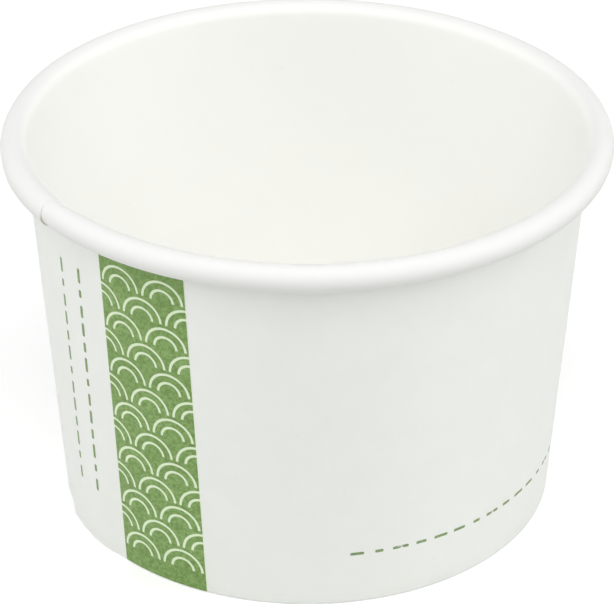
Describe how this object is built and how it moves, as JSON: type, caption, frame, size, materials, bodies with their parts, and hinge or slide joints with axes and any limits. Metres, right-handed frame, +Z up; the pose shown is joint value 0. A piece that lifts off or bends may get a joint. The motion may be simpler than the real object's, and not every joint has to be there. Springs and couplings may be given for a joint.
{
  "type": "hot food pot",
  "caption": "Round paper pot for hot food with a tapered lapped wall, a rolled rim, a recessed base and a green printed band.",
  "frame": {"origin": "middle of the foot, on the surface that the pot stands on", "axes": "+Z up along the pot's axis; the printed band faces -Y, to the left of the front; the lap seam is further to the left"},
  "size_m": [0.09, 0.09, 0.06],
  "materials": {
    "wall_board": "white board, coated inside, matt outside",
    "base_board": "white board, coated on the food side",
    "green_ink": "flat printing ink"
  },
  "bodies": {
    "root": {"side_wall": "wall_board", "base_disc": "base_board", "printed_band": "green_ink"}
  },
  "joints": []
}
